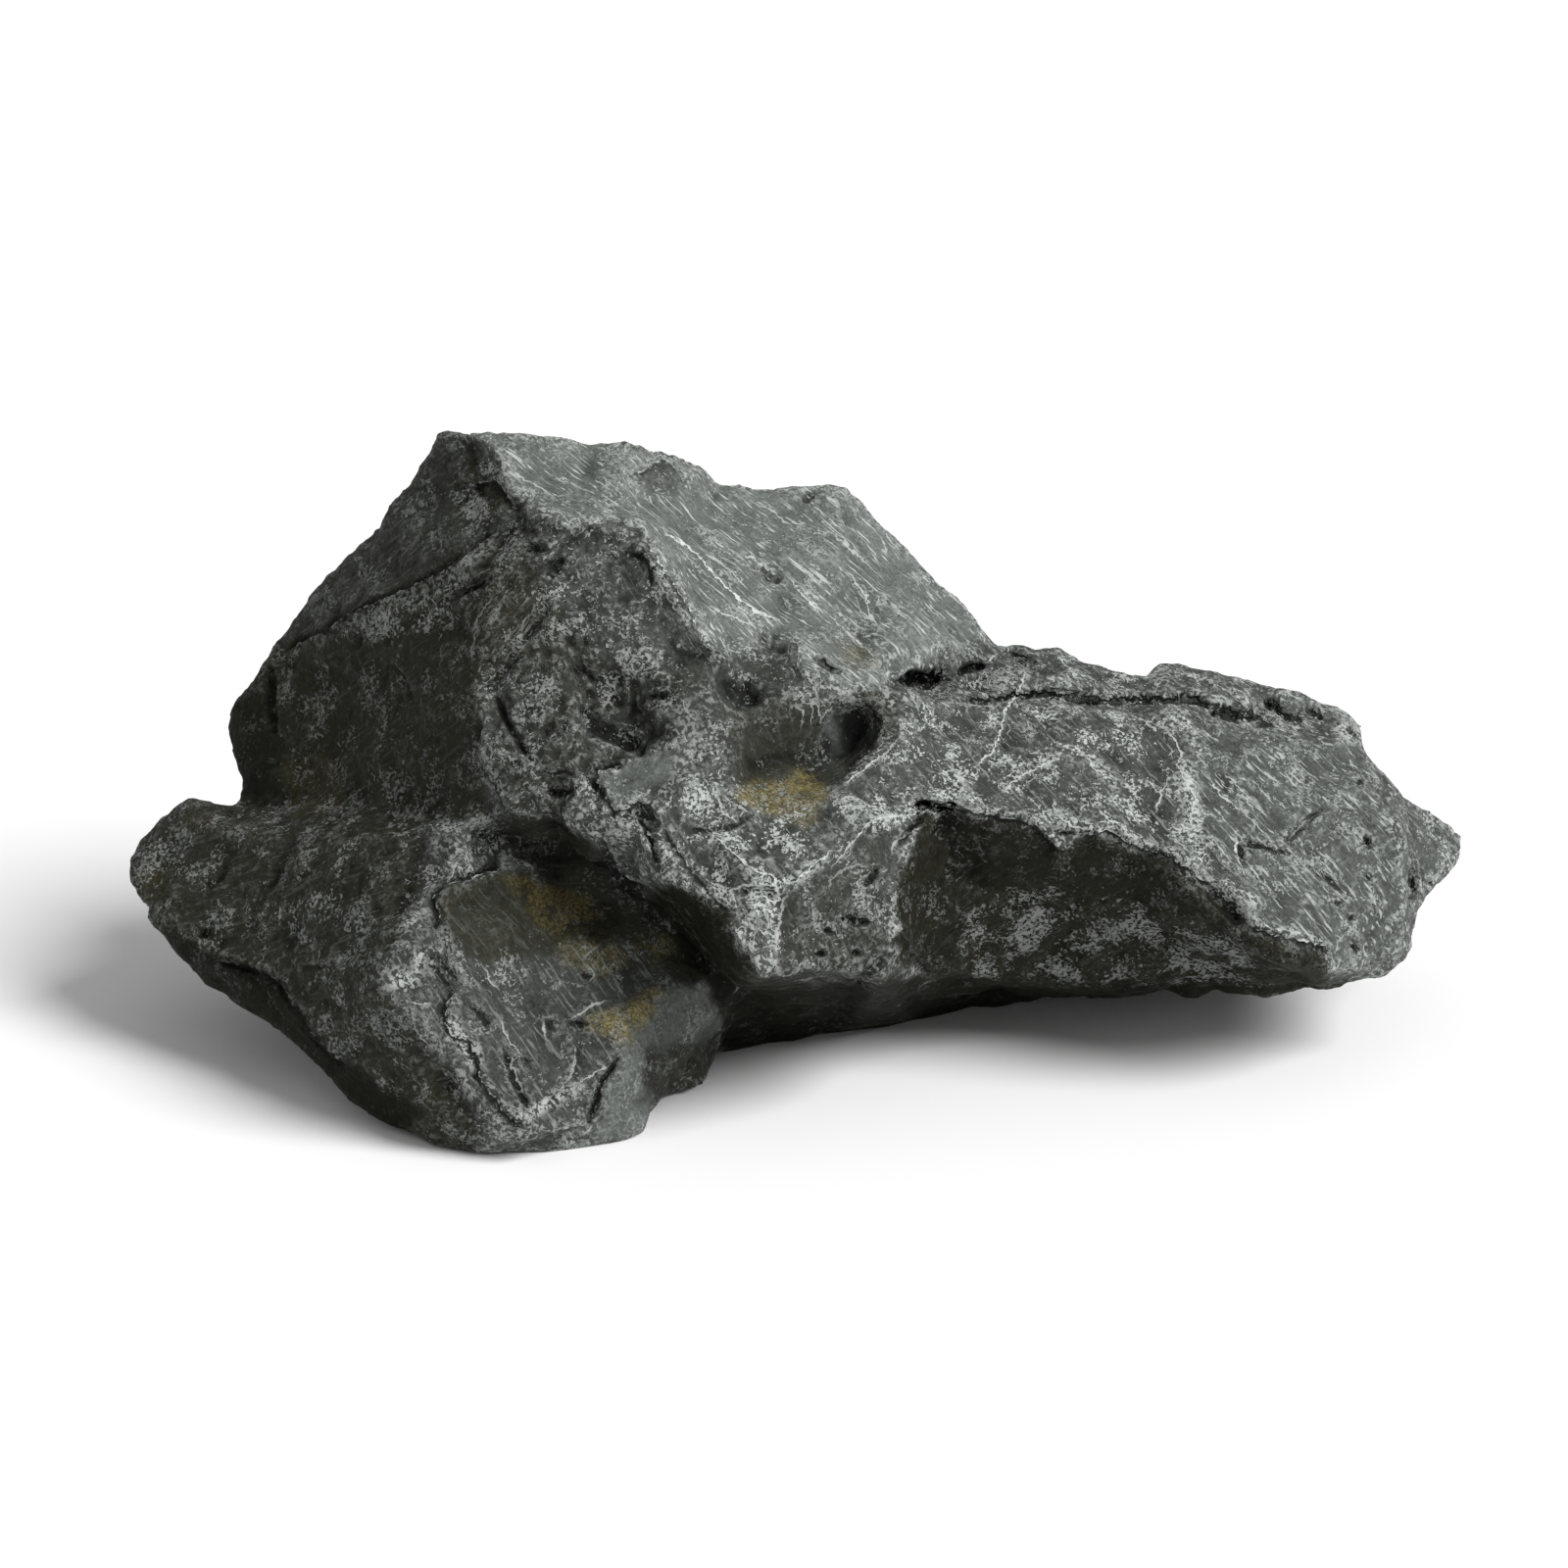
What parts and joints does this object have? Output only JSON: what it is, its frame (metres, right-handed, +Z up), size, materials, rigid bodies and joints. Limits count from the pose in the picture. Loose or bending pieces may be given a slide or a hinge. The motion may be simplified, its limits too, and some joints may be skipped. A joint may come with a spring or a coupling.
{
  "type": "rough rock",
  "caption": "Rough dark grey stone with a peaked body, a long arm to one side, a low foot and a hollow under its front; lies flat on its underside as scenery or ballast.",
  "frame": {"origin": "middle of the bounding box, on the plane that the stone rests on", "axes": "+Z up, +X along the stone towards the end of its arm, +Y towards its back"},
  "size_m": [0.281, 0.1392, 0.1257],
  "materials": {
    "dark_stone": "Matt dark grey broken stone with pale chalky grain and edges, darker shaded faces and a few tan stains"
  },
  "bodies": {
    "root": {"rock": "dark_stone"}
  },
  "joints": []
}
